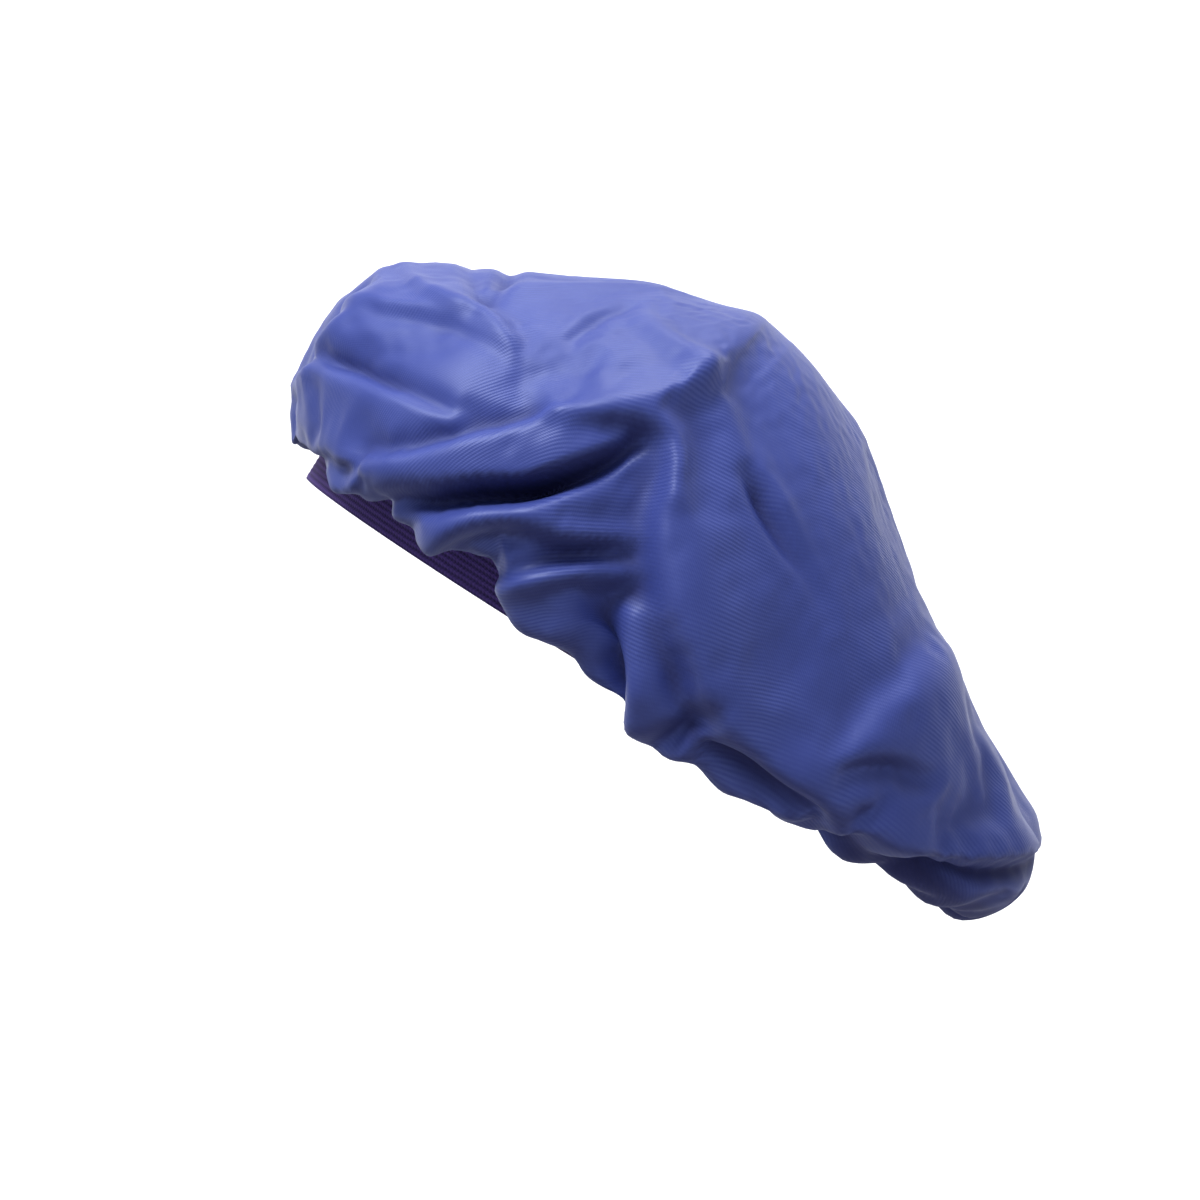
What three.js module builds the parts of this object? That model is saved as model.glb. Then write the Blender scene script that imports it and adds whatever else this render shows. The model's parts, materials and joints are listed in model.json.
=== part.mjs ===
// A salon bonnet: a round of satin gathered onto a wide ribbed elastic band, in the shape that it
// takes when worn.
//
// Millimetres, +Z up. The wearer looks along -X, so the forehead is at -X, the nape at +X and the ears
// at -Y and +Y. The origin is the centre of the head opening, in the plane of the band's lower edge.
// That plane drops towards the nape by WEAR_TILT. Everything is modelled in the band's own frame,
// where the lower edge is flat (x towards the nape, z up through the crown), and the last group tilts
// it all.
import * as THREE from 'three';
import { ParametricGeometry } from 'three/addons/geometries/ParametricGeometry.js';

// ---- Driving dimensions -----------------------------------------------------------------------------

const WEAR_TILT = 32; // degrees, from the forehead down to the nape

const OPENING_LENGTH = 224; // forehead to nape, inside the stretched band
const OPENING_WIDTH = 160; // ear to ear, inside the band

const BAND_WIDTH = 36; // height of the elastic
const KNIT_THICKNESS = 0.6; // each of the two knitted faces
const CORE_DIAMETER = 0.6; // a rubber core between them
const CORE_COUNT = 16;
const SELVEDGE = 1.5; // from an edge of the elastic to its nearest core
const JOIN_OVERLAP = 20; // the elastic's ends lap by this much at the nape
const JOIN_RAMP = 14; // and the outer end climbs over the inner one in this much

const CLOTH_THICKNESS = 0.8; // the satin, with the bulk of its fine gathers
const HEM_LAP = 8; // the satin's edge laps the band by this much
const FRONT_OVERHANG = 27; // how far the crown stands out past the band
const SIDE_OVERHANG = 40;
const BACK_OVERHANG = 98;
const SHOWING = 10; // height of the band that shows below the crown's fold, from the forehead to the temples
const DROOP = 10; // how far the fold hangs below the band's lower edge, from the ears to the nape
const CROWN_RISE = 104; // from the band's upper edge to the top of the crown
const CROWN_SHIFT = 10; // the top of the crown lies this far behind the centre of the opening

const THREAD_DIAMETER = 0.6;
const STITCH_ROWS = { upper: 2, lower: 6 }; // distance of each row of stitches below the band's upper edge
const TACK_SWING = 1.2; // half the width of a zigzag tack over the join
const TACK_STITCH = 1.6; // height of one leg of the zigzag

const LABEL_WIDTH = 30;
const LABEL_LENGTH = 22;
const LABEL_THICKNESS = 0.4;
const LABEL_SEWN = 8; // the label's sewn edge lies this far below the band's upper edge

const GAP = 0.3; // between pieces that lie on each other

// ---- Resolution -------------------------------------------------------------------------------------

const COLUMNS = 48; // around the band and the crown: pieces that lie on each other share their corners
const CROWN_ROWS = 26; // from the hem to the top of the crown, on each side of the cloth
const STRAND_SIDES = 4;

// ---- Materials --------------------------------------------------------------------------------------

const material = (color, roughness) => new THREE.MeshStandardMaterial({ color, roughness, metalness: 0 });
const SATIN = material(0x4a57a8, 0.35);
const KNIT = material(0x3a2a70, 0.85);
const RUBBER = material(0x2a2440, 0.6);
const THREAD = material(0x3c3a80, 0.6);
const LABEL = material(0xe8e6e0, 0.55);

const piece = (name, geometry, finish) => {
	const mesh = new THREE.Mesh(geometry, finish);
	mesh.name = name;
	return mesh;
};

// ---- The loop that every piece follows --------------------------------------------------------------

const NAPE = 0; // the loop's angle is measured from the nape
const TURN = 2 * Math.PI;
const BAND_THICKNESS = 2 * KNIT_THICKNESS + CORE_DIAMETER + 2 * GAP;
const LIFT = BAND_THICKNESS + GAP; // the outer end of the elastic stands this far out where it laps

// The oval of the head opening, `out` millimetres outside the band's inner face along the oval's normal.
function loopPoint(angle, out) {
	const a = OPENING_LENGTH / 2;
	const b = OPENING_WIDTH / 2;
	const normal = new THREE.Vector2(b * Math.cos(angle), a * Math.sin(angle)).normalize();
	return new THREE.Vector2(a * Math.cos(angle), b * Math.sin(angle)).addScaledVector(normal, out);
}

// Near the nape one radian of the loop is half the opening's width.
const atNape = (length) => length / (OPENING_WIDTH / 2);
const HALF_JOIN = atNape(JOIN_OVERLAP / 2);
const RAMP = atNape(JOIN_RAMP);
const COLUMN = TURN / COLUMNS;
const { smoothstep } = THREE.MathUtils;

// The angles of the corners from one angle to another: both ends, and every column between them.
function corners(from, to) {
	const first = Math.floor(from / COLUMN + 1e-6) + 1;
	const last = Math.ceil(to / COLUMN - 1e-6) - 1;
	return [from, ...Array.from({ length: last - first + 1 }, (_, i) => (first + i) * COLUMN), to];
}

const STRIP = corners(NAPE - HALF_JOIN, NAPE + TURN + HALF_JOIN);

// How far the elastic stands out at an angle along the strip. Its ramp ends a whole column before the
// lap, so that the straight side over the strip's first end is all the way out.
const RAMP_END = HALF_JOIN + COLUMN;
const stripLift = (angle) => LIFT * smoothstep(angle, TURN - RAMP_END - RAMP, TURN - RAMP_END);

// How far what is sewn outside the elastic has to stand out at any angle: over the ramp, the lap and
// the cut end.
function outsideLift(angle) {
	const fromNape = Math.atan2(Math.sin(angle), Math.cos(angle));
	const rise = smoothstep(fromNape, -RAMP_END - RAMP - COLUMN, -RAMP_END - COLUMN);
	const fall = smoothstep(fromNape, RAMP_END, RAMP_END + RAMP);
	return LIFT * (rise - fall);
}

// A curve round the band at a height, `out` millimetres from its inner face, through the corners at
// `angles`.
class LoopCurve extends THREE.Curve {
	constructor(angles, out, height) {
		super();
		Object.assign(this, { angles, out, height });
	}
	getPoint(t, target = new THREE.Vector3()) {
		const place = t * (this.angles.length - 1);
		const i = Math.min(Math.floor(place), this.angles.length - 2);
		const angle = THREE.MathUtils.lerp(this.angles[i], this.angles[i + 1], place - i);
		const p = loopPoint(angle, this.out(angle));
		return target.set(p.x, p.y, this.height);
	}
	getPointAt(t, target) {
		return this.getPoint(t, target);
	}
	getTangentAt(t, target) {
		return this.getTangent(t, target);
	}
}

// A thread or a core along a curve.
function strand(curve, diameter, steps) {
	const section = new THREE.Shape(
		Array.from({ length: STRAND_SIDES }, (_, i) => {
			const angle = ((i + 0.5) / STRAND_SIDES) * TURN;
			return new THREE.Vector2(Math.cos(angle), Math.sin(angle)).multiplyScalar(diameter / 2);
		}),
	);
	return new THREE.ExtrudeGeometry(section, { steps, extrudePath: curve });
}

const loopStrand = (angles, out, height, diameter) =>
	strand(new LoopCurve(angles, out, height), diameter, angles.length - 1);

// ---- The elastic band -------------------------------------------------------------------------------

// One knitted face of the elastic: its plan is a thin strip whose second end laps over its first.
function knitFace(inner, outer) {
	const edge = (out) => STRIP.map((angle) => loopPoint(angle, out + stripLift(angle)));
	const plan = new THREE.Shape([...edge(outer), ...edge(inner).reverse()]);
	return new THREE.ExtrudeGeometry(plan, { depth: BAND_WIDTH, bevelEnabled: false });
}

const coreCentre = KNIT_THICKNESS + GAP + CORE_DIAMETER / 2;
const corePitch = (BAND_WIDTH - 2 * SELVEDGE) / (CORE_COUNT - 1);

function elasticBand() {
	const band = new THREE.Group();
	band.add(piece('band_inner_knit', knitFace(0, KNIT_THICKNESS), KNIT));
	band.add(piece('band_outer_knit', knitFace(BAND_THICKNESS - KNIT_THICKNESS, BAND_THICKNESS), KNIT));
	for (let i = 0; i < CORE_COUNT; i++) {
		const core = loopStrand(STRIP, (a) => coreCentre + stripLift(a), SELVEDGE + i * corePitch, CORE_DIAMETER);
		band.add(piece(`rubber_core_${String(i + 1).padStart(2, '0')}`, core, RUBBER));
	}
	return band;
}

// ---- The satin crown --------------------------------------------------------------------------------

// Values at the forehead, the ears and the nape, blended round the crown.
function around(angle, [front, side, back]) {
	const c = Math.cos(angle);
	return THREE.MathUtils.lerp(side, c > 0 ? back : front, c * c);
}

// The same, but the value at the forehead holds as far as the temples.
const TEMPLES = [-0.1, 0.3]; // where the change happens, as the cosine of the angle from the forehead
function templeToNape(angle, [front, side, back]) {
	const c = Math.cos(angle);
	const behind = c > 0 ? THREE.MathUtils.lerp(side, back, c * c) : side;
	return THREE.MathUtils.lerp(behind, front, smoothstep(-c, ...TEMPLES));
}

// A point of the crown that stands `out` past the band's outer face and `up` above its lower edge.
function crownPoint(angle, out, up) {
	const half = OPENING_LENGTH / 2 + BAND_THICKNESS + (Math.cos(angle) > 0 ? out[2] : out[0]);
	const wide = OPENING_WIDTH / 2 + BAND_THICKNESS + out[1];
	return new THREE.Vector3(half * Math.cos(angle), wide * Math.sin(angle), templeToNape(angle, up));
}

const OVERHANG = [FRONT_OVERHANG, SIDE_OVERHANG, BACK_OVERHANG];
const share = (shares, sizes) => shares.map((value, i) => value * sizes[i]);
const CROWN_TOP = BAND_WIDTH + CROWN_RISE;
const bandShares = (shares) => shares.map((value) => value * BAND_WIDTH);
const WAIST = bandShares([1.3, 0.7, 0.6]); // height of the crown's widest line

// Under the crown the cloth stands up past the band's edge, turns out and hangs down behind the fold.
const OVER_EDGE = 2;
const TURN_OUT = [5, 6, 10];
const UNDERSIDE = { out: [0.3, 0.4, 0.46], up: bandShares([0.6, 0.35, 0.2]) };
const FOLD = { out: [0.4, 0.62, 0.86], up: [SHOWING, -DROOP, -DROOP] };
const FOLD_SIDE = { out: [0.75, 0.93, 1], up: [SHOWING + 9, 10 - DROOP, 12 - DROOP] };

// The dome above the widest line: at each level, the share of the reach that is left and the share of
// the rise that is done, at the forehead, the ears and the nape. It is full over the forehead and
// slopes straight to the nape.
const DOME = [
	{ reach: [0.97, 0.95, 0.9], rise: [0.25, 0.33, 0.18] },
	{ reach: [0.86, 0.82, 0.68], rise: [0.5, 0.62, 0.38] },
	{ reach: [0.64, 0.6, 0.45], rise: [0.72, 0.82, 0.64] },
	{ reach: [0.33, 0.31, 0.23], rise: [0.91, 0.95, 0.9] },
	{ reach: [0, 0, 0], rise: [1, 1, 1] },
];

function domePoint(angle, { reach, rise }) {
	const widest = crownPoint(angle, OVERHANG, WAIST);
	const left = around(angle, reach);
	const shift = CROWN_SHIFT * (1 - left);
	return new THREE.Vector3(
		widest.x * left + shift,
		widest.y * left,
		THREE.MathUtils.lerp(widest.z, CROWN_TOP, around(angle, rise)),
	);
}

// The wrong side of the cloth along one line from the hem to the top of the crown: up the band's outer
// face, over and down the underside, round the hanging fold, out to the widest line and up over the
// dome.
const guides = new Map();
function crownLine(angle) {
	if (guides.has(angle)) return guides.get(angle);
	const hem = (up) => {
		const p = loopPoint(angle, BAND_THICKNESS + GAP + outsideLift(angle));
		return new THREE.Vector3(p.x, p.y, up);
	};
	const seamTop = BAND_WIDTH + 2 * OVER_EDGE;
	const line = new THREE.CatmullRomCurve3(
		[
			hem(BAND_WIDTH - HEM_LAP),
			hem(BAND_WIDTH - HEM_LAP / 2),
			hem(BAND_WIDTH),
			hem(BAND_WIDTH + OVER_EDGE),
			crownPoint(angle, TURN_OUT, [seamTop, seamTop, seamTop]),
			...[UNDERSIDE, FOLD, FOLD_SIDE].map(({ out, up }) => crownPoint(angle, share(out, OVERHANG), up)),
			crownPoint(angle, OVERHANG, WAIST),
			...DOME.map((level) => domePoint(angle, level)),
		],
		false,
		'centripetal',
	);
	guides.set(angle, line);
	return line;
}

// The direction out of the cloth's right side, from the surface's two tangents.
function clothNormal(angle, t) {
	const step = 1e-3;
	const [a, b] = [Math.max(t - step, 0), Math.min(t + step, 1)];
	if (t > 1 - step) return new THREE.Vector3(0, 0, 1);
	const along = crownLine(angle).getPoint(b).sub(crownLine(angle).getPoint(a));
	const round = crownLine(angle + step).getPoint(t).sub(crownLine(angle - step).getPoint(t));
	return round.cross(along).normalize();
}

// The closed wall: v runs up the right side of the cloth, back down the wrong side, and closes across
// the hem's edge.
const WALL_ROWS = 2 * CROWN_ROWS + 2;
function crownWall(u, v, target) {
	const angle = NAPE + u * TURN;
	const row = Math.round(v * WALL_ROWS) % WALL_ROWS; // the last row is the first one again
	const right = row <= CROWN_ROWS;
	const t = (right ? row : WALL_ROWS - 1 - row) / CROWN_ROWS;
	target.copy(crownLine(angle).getPoint(t));
	if (right) target.addScaledVector(clothNormal(angle, t), CLOTH_THICKNESS);
}

const crown = () => piece('crown_satin', new ParametricGeometry(crownWall, COLUMNS, WALL_ROWS), SATIN);

// ---- Threads ----------------------------------------------------------------------------------------

// A row of stitches shows as a needle thread on the satin and a bobbin thread on the band's inner face.
function stitchRow(name) {
	const height = BAND_WIDTH - STITCH_ROWS[name];
	const onSatin = BAND_THICKNESS + CLOTH_THICKNESS + 2 * GAP + THREAD_DIAMETER / 2;
	const needle = (angle) => onSatin + outsideLift(angle);
	const bobbin = () => -GAP - THREAD_DIAMETER / 2;
	const round = corners(NAPE, NAPE + TURN - atNape(1)); // the row's two ends stop short of each other
	const group = new THREE.Group();
	group.add(piece(`needle_thread_${name}`, loopStrand(round, needle, height, THREAD_DIAMETER), THREAD));
	group.add(piece(`bobbin_thread_${name}`, loopStrand(round, bobbin, height, THREAD_DIAMETER), THREAD));
	return group;
}

// A zigzag tack up the lapped ends of the elastic, on its outer face and below the hem.
function joinTack(name, angle) {
	const out = BAND_THICKNESS + LIFT + GAP + THREAD_DIAMETER;
	const legs = Math.floor((BAND_WIDTH - HEM_LAP - 3 * THREAD_DIAMETER) / TACK_STITCH);
	const points = Array.from({ length: legs + 1 }, (_, i) => {
		const p = loopPoint(angle + (i % 2 ? 1 : -1) * atNape(TACK_SWING), out);
		return new THREE.Vector3(p.x, p.y, THREAD_DIAMETER + i * TACK_STITCH);
	});
	const path = new THREE.CatmullRomCurve3(points);
	return piece(name, strand(path, THREAD_DIAMETER, legs), THREAD);
}

// ---- The care label ---------------------------------------------------------------------------------

// A blank woven label inside the nape. It lies across the curve of the band and swings on its upper
// edge, where a row of stitches catches it.
function careLabel() {
	const chord = Math.sqrt(1 - (LABEL_WIDTH / OPENING_WIDTH) ** 2);
	const plane = (OPENING_LENGTH / 2) * chord - 2 * GAP - LABEL_THICKNESS / 2;
	const edge = BAND_WIDTH - LABEL_SEWN;
	const tag = new THREE.BoxGeometry(LABEL_THICKNESS, LABEL_WIDTH, LABEL_LENGTH);
	tag.translate(plane, 0, edge - LABEL_LENGTH / 2);
	const reach = LABEL_WIDTH / 2 - 2 * THREAD_DIAMETER;
	const seat = edge + LABEL_THICKNESS / 2 + GAP + THREAD_DIAMETER / 2;
	const [left, right] = [-reach, reach].map((y) => new THREE.Vector3(plane, y, seat));
	const row = new THREE.LineCurve3(left, right);
	const group = new THREE.Group();
	group.add(piece('care_label', tag, LABEL));
	group.add(piece('label_stitch', strand(row, THREAD_DIAMETER, 1), THREAD));
	return group;
}

// ---- Assembly ---------------------------------------------------------------------------------------

const bonnet = new THREE.Group();
bonnet.add(crown(), elasticBand());
bonnet.add(...Object.keys(STITCH_ROWS).map(stitchRow));
bonnet.add(joinTack('join_tack_left', NAPE - HALF_JOIN / 2));
bonnet.add(joinTack('join_tack_right', NAPE + HALF_JOIN / 2));
bonnet.add(careLabel());
bonnet.rotation.y = THREE.MathUtils.degToRad(WEAR_TILT);

const root = new THREE.Group();
root.add(bonnet);
export default root;
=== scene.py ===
# %% [markdown]
# # A satin bonnet on a wide ribbed elastic
#
# The real thing is simple to sew and hard to draw. A big round of satin is gathered onto a stretched elastic
# band. When it is worn, the spare cloth hangs over the band in soft rolls, and it trails behind the head in a
# loose bag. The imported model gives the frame: where the band lies, how wide it is, and the box that the whole
# bonnet stays in.

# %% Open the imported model
import json

import bmesh
import bpy
import numpy as np
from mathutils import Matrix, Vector


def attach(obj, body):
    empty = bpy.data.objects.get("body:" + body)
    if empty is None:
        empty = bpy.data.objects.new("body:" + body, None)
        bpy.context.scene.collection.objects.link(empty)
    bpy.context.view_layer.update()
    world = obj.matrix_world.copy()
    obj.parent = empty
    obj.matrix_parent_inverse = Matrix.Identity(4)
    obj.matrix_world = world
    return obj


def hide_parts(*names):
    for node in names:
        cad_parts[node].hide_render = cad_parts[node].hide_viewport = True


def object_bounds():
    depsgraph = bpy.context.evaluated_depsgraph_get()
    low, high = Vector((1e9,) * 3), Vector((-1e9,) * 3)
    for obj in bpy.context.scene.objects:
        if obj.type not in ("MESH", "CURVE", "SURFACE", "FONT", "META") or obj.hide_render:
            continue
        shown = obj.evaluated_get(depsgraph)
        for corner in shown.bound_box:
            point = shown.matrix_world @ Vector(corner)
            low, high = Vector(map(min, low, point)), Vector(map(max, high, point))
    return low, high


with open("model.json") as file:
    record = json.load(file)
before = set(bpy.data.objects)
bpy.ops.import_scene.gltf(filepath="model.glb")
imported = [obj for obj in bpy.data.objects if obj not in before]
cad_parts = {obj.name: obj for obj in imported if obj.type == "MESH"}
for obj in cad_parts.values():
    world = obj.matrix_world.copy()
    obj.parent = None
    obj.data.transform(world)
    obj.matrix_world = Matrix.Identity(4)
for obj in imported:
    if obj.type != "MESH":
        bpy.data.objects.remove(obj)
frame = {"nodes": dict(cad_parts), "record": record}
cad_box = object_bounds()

# %% [markdown]
# ## The band's own frame
#
# The bonnet sits tilted on the head. It is easier to think of the band lying flat, with x running back
# towards the nape and z up through the crown, and to turn the finished points into the world at the end. The
# mount of the head opening says which way the band faces, and the band's own vertices say how large its oval
# is.

# %% The band's frame and sizes, in millimetres
MM = 0.001
opening = next(m for m in frame["record"]["mounts"] if m["name"] == "head_opening")
UP = -np.array(opening["axis"])
SIDE = np.array([0.0, 1.0, 0.0])
BACK = np.cross(SIDE, UP)


def to_world(points):
    """Points of the band's frame in millimetres, to the world in metres: x * BACK + y * SIDE + z * UP."""
    return np.asarray(points) @ np.array([BACK, SIDE, UP]) * MM


def in_band_frame(node):
    """A CAD node's vertices in the band's frame, in millimetres."""
    mesh = frame["nodes"][node].data
    flat = np.empty(len(mesh.vertices) * 3, dtype=np.float32)
    mesh.vertices.foreach_get("co", flat)
    return flat.reshape(-1, 3) @ np.array([BACK, SIDE, UP]).T / MM


KNIT = 0.6  # thickness of each knitted face of the elastic
inner_knit = in_band_frame("band_inner_knit")
outer_knit = in_band_frame("band_outer_knit")
BAND_WIDTH = inner_knit[:, 2].max()
HALF_LENGTH = -inner_knit[:, 0].min() - KNIT  # of the oval inside the band, forehead to nape
HALF_WIDTH = inner_knit[:, 1].max() - KNIT
BAND_THICKNESS = -outer_knit[:, 0].min() - HALF_LENGTH
GAP = 0.3  # between layers that lie on each other
JOIN_OVERLAP = 20  # the ends of the elastic lap at the nape
JOIN_RAMP = 14
LIFT = BAND_THICKNESS + GAP  # how far the outer end stands out
print(f"band: {2 * HALF_LENGTH:.0f} x {2 * HALF_WIDTH:.0f} inside, {BAND_WIDTH:.0f} wide, "
      f"{BAND_THICKNESS:.1f} thick")

# %% [markdown]
# ## Tools: smooth steps, the oval, and grids of points
#
# Every piece below is a surface over a grid. Its points are worked out as one numpy array and handed to the
# mesh in one go, which is quick, and lets a shape be read as a formula instead of as a list of edits.


# %% Curves
TURN = 2 * np.pi


def smoothstep(low, high, x):
    """0 below low, 1 above high, and 3t^2 - 2t^3 between. low may be the larger, which turns it round."""
    t = np.clip((x - low) / (high - low), 0, 1)
    return t * t * (3 - 2 * t)


def mix(a, b, t):
    """a + (b - a) * t."""
    return a + (b - a) * t


def loop_point(angle, out, height):
    """Points round the band: the inside oval at the angle from the nape, pushed out along its normal."""
    angle, out, height = np.broadcast_arrays(angle, out, height)
    across = np.stack([HALF_WIDTH * np.cos(angle), HALF_LENGTH * np.sin(angle)], -1)
    across = across / np.linalg.norm(across, axis=-1, keepdims=True)
    oval = np.stack([HALF_LENGTH * np.cos(angle), HALF_WIDTH * np.sin(angle)], -1)
    return np.concatenate([oval + across * out[..., None], height[..., None]], -1)


HALF_JOIN = JOIN_OVERLAP / 2 / HALF_WIDTH
RAMP = JOIN_RAMP / HALF_WIDTH
MARGIN = TURN / 48
RAMP_END = HALF_JOIN + MARGIN


def strip_lift(angle):
    """How far the elastic stands out at an angle along the strip, which climbs over its own first end."""
    return LIFT * smoothstep(TURN - RAMP_END - RAMP, TURN - RAMP_END, angle)


def outside_lift(angle):
    """How far a piece sewn outside the elastic stands out over the climb, the lap and the cut end."""
    from_nape = np.arctan2(np.sin(angle), np.cos(angle))
    rise = smoothstep(-RAMP_END - RAMP - MARGIN, -RAMP_END - MARGIN, from_nape)
    fall = smoothstep(RAMP_END, RAMP_END + RAMP, from_nape)
    return LIFT * (rise - fall)


def spline(guides, counts):
    """Centripetal Catmull-Rom curves through guides[k], one for each column, with counts[k] steps in span k.

    Each span blends the lines through its neighbours, with knots a square root of the guides' distance apart.
    """
    g = np.concatenate([[2 * guides[0] - guides[1]], guides, [2 * guides[-1] - guides[-2]]])
    rows = []
    for k, count in enumerate(counts):
        p0, p1, p2, p3 = g[k : k + 4]
        k1 = np.sqrt(np.linalg.norm(p1 - p0, axis=-1, keepdims=True)) + 1e-6
        k2 = k1 + np.sqrt(np.linalg.norm(p2 - p1, axis=-1, keepdims=True)) + 1e-6
        k3 = k2 + np.sqrt(np.linalg.norm(p3 - p2, axis=-1, keepdims=True)) + 1e-6
        for step in range(count):
            t = mix(k1, k2, step / count)
            a1 = (k1 - t) / k1 * p0 + t / k1 * p1
            a2 = (k2 - t) / (k2 - k1) * p1 + (t - k1) / (k2 - k1) * p2
            a3 = (k3 - t) / (k3 - k2) * p2 + (t - k2) / (k3 - k2) * p3
            b1 = (k2 - t) / k2 * a1 + t / k2 * a2
            b2 = (k3 - t) / (k3 - k1) * a2 + (t - k1) / (k3 - k1) * a3
            rows.append((k2 - t) / (k2 - k1) * b1 + (t - k1) / (k2 - k1) * b2)
    return np.stack(rows + [guides[-1]])


# %% Meshes from grids


def grid_faces(rows, columns, wrap_rows=False, wrap_columns=False):
    """The quads of a grid: corner numbers i * columns + j, wound (i, j), (i, j+1), (i+1, j+1), (i+1, j)."""
    i = np.arange(rows if wrap_rows else rows - 1)[:, None]
    j = np.arange(columns if wrap_columns else columns - 1)[None, :]
    k, m = (i + 1) % rows, (j + 1) % columns
    return np.stack([i * columns + j, i * columns + m, k * columns + m, k * columns + j], -1).reshape(-1, 4)


def close(mesh):
    """Makes points that coincide one, such as those of a pole, and turns every face outwards."""
    work = bmesh.new()
    work.from_mesh(mesh)
    bmesh.ops.remove_doubles(work, verts=work.verts, dist=1e-6)
    bmesh.ops.recalc_face_normals(work, faces=work.faces)
    work.to_mesh(mesh)
    work.free()


def piece(name, points, faces, uv=None, material=None, merge=True):
    """A smooth mesh object from points in the band's frame. uv holds one pair of numbers per point."""
    points = to_world(np.asarray(points).reshape(-1, 3))
    mesh = bpy.data.meshes.new(name)
    mesh.vertices.add(len(points))
    mesh.vertices.foreach_set("co", points.astype(np.float32).ravel())
    mesh.loops.add(faces.size)
    mesh.loops.foreach_set("vertex_index", faces.astype(np.int32).ravel())
    mesh.polygons.add(len(faces))
    mesh.polygons.foreach_set("loop_start", np.arange(0, faces.size, faces.shape[1], dtype=np.int32))
    mesh.update(calc_edges=True)
    mesh.validate()
    if uv is not None:
        layer = mesh.uv_layers.new(name="cloth")
        layer.data.foreach_set("uv", np.asarray(uv).reshape(-1, 2)[faces.ravel()].astype(np.float32).ravel())
    if merge:
        close(mesh)
    mesh.polygons.foreach_set("use_smooth", np.ones(len(mesh.polygons), dtype=bool))
    obj = bpy.data.objects.new(name, mesh)
    bpy.context.scene.collection.objects.link(obj)
    if material is not None:
        mesh.materials.append(material)
    print(f"{name}: {len(mesh.vertices)} points, {len(mesh.polygons)} faces")
    return obj


def batch_faces(batches, rows, columns):
    """Faces of many equal tubes whose grids follow each other: each is closed round its columns."""
    one = grid_faces(rows, columns, wrap_columns=True)
    return (one[None] + (np.arange(batches) * rows * columns)[:, None, None]).reshape(-1, 4)


def tubes(paths, radius, sides=8):
    """Round tubes along paths[b, i], closed at both ends by shrinking to a point.

    A ring's points are path + radius * (cos a * across + sin a * above), where above is the direction at
    right angles to the path that lies closest to the band's up.
    """
    along = np.gradient(paths, axis=1)
    along /= np.linalg.norm(along, axis=-1, keepdims=True)
    up = np.array([0.0, 0.0, 1.0])
    up = np.where(np.abs(along[..., 2:]) > 0.9, np.array([1.0, 0.0, 0.0]), up)
    across = np.cross(along, up)
    across /= np.linalg.norm(across, axis=-1, keepdims=True)
    above = np.cross(across, along)
    a = np.arange(sides) / sides * TURN
    ring = np.cos(a)[:, None] * across[:, :, None] + np.sin(a)[:, None] * above[:, :, None]
    points = paths[:, :, None] + radius * ring
    first = np.broadcast_to(paths[:, :1, None], points[:, :1].shape)
    last = np.broadcast_to(paths[:, -1:, None], points[:, :1].shape)
    points = np.concatenate([first, points, last], 1)
    return points, batch_faces(len(paths), points.shape[1], sides)


# %% [markdown]
# ## Shader arithmetic
#
# A material is easier to read as an expression. The class below wraps a socket, so that adding or multiplying
# two wires puts a Math node between them. Colours go through Mix nodes, because a Math node would turn them
# grey.


# %% Wires and finishes
class Wire:
    """A value socket of a node tree that takes part in arithmetic."""

    def __init__(self, finish, socket):
        self.finish = finish
        self.socket = socket

    def maths(self, operation, *others):
        """A Math node: the operation on this wire and the others."""
        return self.finish.wire("ShaderNodeMath", {"operation": operation}, dict(enumerate((self, *others))))

    def __add__(self, other):
        return self.maths("ADD", other)

    def __sub__(self, other):
        return self.maths("SUBTRACT", other)

    def __rsub__(self, other):
        return self.maths("MULTIPLY", -1.0) + other

    def __mul__(self, other):
        return self.maths("MULTIPLY", other)

    __radd__ = __add__
    __rmul__ = __mul__

    def wave(self, period):
        """0 to 1 and back once every period: 0.5 + 0.5 * sin(2 pi x / period)."""
        return (self * (TURN / period)).maths("SINE") * 0.5 + 0.5

    def rise(self, low, high):
        """0 below low and 1 above high, with a straight line between them."""
        return (self - low).maths("MULTIPLY", 1 / (high - low)).maths("MINIMUM", 1.0).maths("MAXIMUM", 0.0)


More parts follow.
